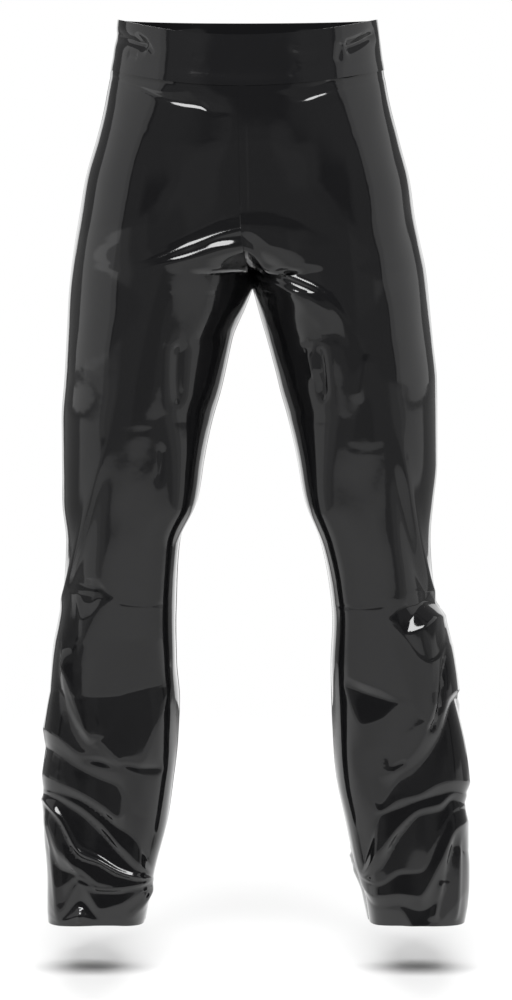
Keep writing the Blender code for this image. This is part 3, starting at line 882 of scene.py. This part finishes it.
def half_grid(leg):
    """Outer points and normals of one half of the garment below the waist seam."""
    across = np.linspace(-1, 1, 2 * COLUMNS + 1)[None, :]
    z = half_levels(across)
    across = across + 0 * z
    skin = skin_point(leg, across, z)
    below = levels() <= FORK
    above = ~below
    normals = grid_normals(skin, leg, below)
    seen = seen_flat(skin)
    own, other = (LEFT_CREASES, RIGHT_CREASES) if leg < 0 else (RIGHT_CREASES, LEFT_CREASES)
    waist, other_waist = (LEFT_WAIST, RIGHT_WAIST) if leg < 0 else (RIGHT_WAIST, LEFT_WAIST)
    from_seam = np.minimum(np.abs(across), 1 - np.abs(across)) / BACK_FADE
    front_part = np.where(across > 0, 1.0, np.clip(1 - from_seam, 0, 1))
    back_part = np.where(across < 0, np.clip(from_seam, 0, 1), 0.0)
    groin, knee = (LEFT_GROIN, LEFT_KNEE) if leg < 0 else (RIGHT_GROIN, RIGHT_KNEE)
    creases = sum(crease_height(stack, seen, 0.0) for stack in (waist, groin, knee, own)) * front_part
    creases += crease_height(other, seen * (-1, 1), BACK_SHIFT) * back_part
    creases += crease_height(other_waist, seen * (-1, 1), 0.0) * back_part
    lift = fold_height(skin, normals, leg) + soften(creases, CREASE_PASSES) + ripple(skin)
    grid = skin + normals * lift[..., None]
    middle = smooth_column(leg_names(leg)[1], z)
    capped = np.minimum(grid[..., 0], middle) if leg < 0 else np.maximum(grid[..., 0], middle)
    grid[above, :, 0] = capped[above]
    normals = grid_normals(grid, leg, below)
    for end in (0, -1):
        facing = normals[above, end]
        facing[:, 0] = np.maximum(facing[:, 0], 0) if leg < 0 else np.minimum(facing[:, 0], 0)
        normals[above, end] = unit(facing)
    return grid, normals


def shell_mesh(name, outer, inner, closed):
    """A thin shell with its edges closed: a fine outer grid, and an inner one of every fourth row and column.

    closed is True where the grid runs all round, so that its last column meets its first.
    """
    rows, columns = outer.shape[:2]
    if closed:
        columns += 1
        outer = np.concatenate([outer, outer[:, :1]], axis=1)
        inner = np.concatenate([inner, inner[:, :1]], axis=1)
    step = INNER_STEP
    inner = inner[::step, ::step]
    rows_in, columns_in = inner.shape[:2]
    fine = np.arange(rows * columns).reshape(rows, columns)
    coarse = rows * columns + np.arange(rows_in * columns_in).reshape(rows_in, columns_in)
    if closed:
        fine[:, -1] = fine[:, 0]
        coarse[:, -1] = coarse[:, 0]
    quads = np.stack([fine[:-1, :-1], fine[1:, :-1], fine[1:, 1:], fine[:-1, 1:]], -1).reshape(-1, 4)
    back = np.stack([coarse[:-1, 1:], coarse[1:, 1:], coarse[1:, :-1], coarse[:-1, :-1]], -1).reshape(-1, 4)
    faces = quads.tolist() + back.tolist()
    for j in range(columns_in - 1):
        span = slice(j * step, (j + 1) * step + 1)
        faces.append(fine[0, span][::-1].tolist() + [coarse[0, j], coarse[0, j + 1]])
        faces.append(fine[-1, span].tolist() + [coarse[-1, j + 1], coarse[-1, j]])
    if not closed:
        for i in range(rows_in - 1):
            span = slice(i * step, (i + 1) * step + 1)
            faces.append(fine[span, 0].tolist() + [coarse[i + 1, 0], coarse[i, 0]])
            faces.append(fine[span, -1][::-1].tolist() + [coarse[i, -1], coarse[i + 1, -1]])
    points = np.concatenate([outer.reshape(-1, 3), inner.reshape(-1, 3)]) * MM
    mesh = bpy.data.meshes.new(name)
    mesh.from_pydata(points.tolist(), [], faces)
    mesh.validate()
    mesh.update()
    return mesh


def face_outwards(mesh):
    """Turns every face over if the shell's volume comes out negative."""
    places = np.empty(len(mesh.vertices) * 3)
    mesh.vertices.foreach_get("co", places)
    places = places.reshape(-1, 3)
    mesh.calc_loop_triangles()
    corners = np.empty(len(mesh.loop_triangles) * 3, dtype=int)
    mesh.loop_triangles.foreach_get("vertices", corners)
    a, b, c = (places[corners.reshape(-1, 3)[:, i]] for i in range(3))
    if (a * np.cross(b, c)).sum() < 0:
        mesh.flip_normals()


# Sizes of the latex's patterns: patches of haze, specks of dust drawn as coarse as they can show, and the
# faint waves of rolled sheet.
HAZE_SIZE = 71.4
HAZE_FROM = 0.35
HAZE_FULL = 0.7
HAZE_ROUGHNESS = 0.04
DUST_SIZE = 1.11
DUST_FROM = 0.66
DUST_FULL = 0.8
DUST_ROUGHNESS = 0.12
WAVE_SIZE = 18.2
WAVE_HEIGHT = 0.12
LATEX_IOR = 1.52


def black_latex(name, base, roughness):
    """Black natural-rubber sheet, rolled and polished: a sharp dark mirror, with faint waves and haze."""
    material = bpy.data.materials.new(name)
    material.use_nodes = True
    tree = material.node_tree
    surface = tree.nodes["Principled BSDF"].inputs
    surface["Base Color"].default_value = linear(base)
    surface["IOR"].default_value = LATEX_IOR
    place = add_node(tree, "ShaderNodeTexCoord")["Object"]
    haze, dust, wave = (
        add_node(tree, "ShaderNodeTexNoise", Vector=place, Scale=1 / (size * MM), Detail=detail)["Fac"]
        for size, detail in ((HAZE_SIZE, 4.0), (DUST_SIZE, 2.0), (WAVE_SIZE, 1.5)))
    shine = add_node(tree, "ShaderNodeMapRange", i0=haze, i1=HAZE_FROM, i2=HAZE_FULL,
                     i3=roughness, i4=roughness + HAZE_ROUGHNESS)[0]
    speck = add_node(tree, "ShaderNodeMapRange", i0=dust, i1=DUST_FROM, i2=DUST_FULL,
                     i3=0.0, i4=DUST_ROUGHNESS)[0]
    rough = add_node(tree, "ShaderNodeMath", {"operation": "ADD"}, i0=shine, i1=speck)[0]
    tree.links.new(rough, surface["Roughness"])
    bump = add_node(tree, "ShaderNodeBump", Strength=1.0, Distance=WAVE_HEIGHT * MM, Height=wave)[0]
    tree.links.new(bump, surface["Normal"])
    return material


def lap_lift(from_edge, edge_width):
    """How far a lapping edge stands proud, by the distance from it."""
    return LAP_STEP * np.clip((LAP_WIDTH + edge_width / 2 - from_edge) / edge_width, 0, 1)


def panel_points(leg, face, grid, normals):
    """One panel's outer and inner points, from the side seam to the centre seam or the inseam."""
    columns = slice(COLUMNS, None) if face < 0 else slice(COLUMNS, None, -1)
    outer, outward = grid[:, columns].copy(), normals[:, columns]
    steps = np.linalg.norm(np.diff(outer, axis=1), axis=-1)
    from_side = np.concatenate([np.zeros((len(outer), 1)), steps.cumsum(1)], 1)
    from_end = from_side[:, -1:] - from_side
    laps_side = face < 0
    laps_end = (face < 0) == (leg > 0)
    lift = np.zeros(from_side.shape)
    for laps, from_edge in ((laps_side, from_side), (laps_end, from_end)):
        if laps:
            lift = np.maximum(lift, lap_lift(from_edge, LAP_EDGE))
    side_step = unit(outer[:, 1] - outer[:, 0])
    outer[:, 0] += side_step * EDGE_GAP / 2
    outer[:, -1, 0] += leg * EDGE_GAP / 2
    outer[:, -1, 1] += face * EDGE_GAP / 2
    outer = outer + outward * lift[..., None]
    return outer, outer - outward * SHEET_THICKNESS


# Each panel's flat width, length and area, in metres.
PANEL_FLATS = {
    "front_left_panel": (0.325, 1.037, 0.236),
    "back_left_panel": (0.320, 1.057, 0.238),
    "front_right_panel": (0.322, 1.037, 0.238),
    "back_right_panel": (0.317, 1.057, 0.240),
}

panel_latex = black_latex("polished black latex, leg panels", "0E0E0F", 0.055)
for leg, side_name in ((-1, "left"), (1, "right")):
    skin, outward = half_grid(leg)
    for face, face_name in ((-1, "front"), (1, "back")):
        node = face_name + "_" + side_name + "_panel"
        outer, inner = panel_points(leg, face, skin, outward)
        mesh = shell_mesh(node + "_shell", outer, inner, False)
        face_outwards(mesh)
        mesh.shade_smooth()
        mesh.set_sharp_from_angle(angle=RIM_ANGLE)
        mesh.materials.append(panel_latex)
        piece = bpy.data.objects.new(node + "_shell", mesh)
        bpy.context.scene.collection.objects.link(piece)
        width, length, area = PANEL_FLATS[node]
        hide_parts(node)
        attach(piece, "root")

# ---------------------------------------------------------------- waistband
# One wide plain strip of the same latex, joined into a ring and glued over the tops of the panels: its
# lower 9 mm laps over them and stands proud, and its top edge is cut raw.
WAIST_DIP = 20.0
BAND_GAP = 0.1
BAND_LAP_EDGE = 8.0
BAND_OUTWARD = (1, 1.9, 0)  # a point's own place, weighted so, points squarely out of the oval
BAND_ROWS = 40

quarter = np.linspace(0, 1, COLUMNS + 1)
rings = []
for leg, across in ((-1, quarter), (1, quarter[-2::-1]), (1, -quarter[1:]), (-1, -quarter[-2:0:-1])):
    top = seam_level(across, -WAIST_DIP, 0.0, 0.0)
    seam = seam_level(across, -BAND_FRONT, -BAND_BACK, -BAND_SIDE) + BAND_GAP
    z = top + (seam - top) * np.linspace(0, 1, BAND_ROWS + 1)[:, None]
    points = skin_point(leg, across + 0 * z, z)
    outward = unit(points * BAND_OUTWARD)
    lap = lap_lift(z - seam, BAND_LAP_EDGE)
    lift = ripple(points) + lap + fold_height(points, outward, leg) + BAND_GAP
    rings.append(points + outward * lift[..., None])
band_outer = np.concatenate(rings, axis=1)
band_inner = band_outer - unit(band_outer * BAND_OUTWARD) * SHEET_THICKNESS
band_mesh = shell_mesh("waistband_shell", band_outer, band_inner, True)
face_outwards(band_mesh)
band_mesh.shade_smooth()
band_mesh.set_sharp_from_angle(angle=RIM_ANGLE)
band_mesh.materials.append(black_latex("polished black latex, waistband", "101011", 0.06))
band = bpy.data.objects.new("waistband_shell", band_mesh)
bpy.context.scene.collection.objects.link(band)
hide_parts("waistband")
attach(band, "root")
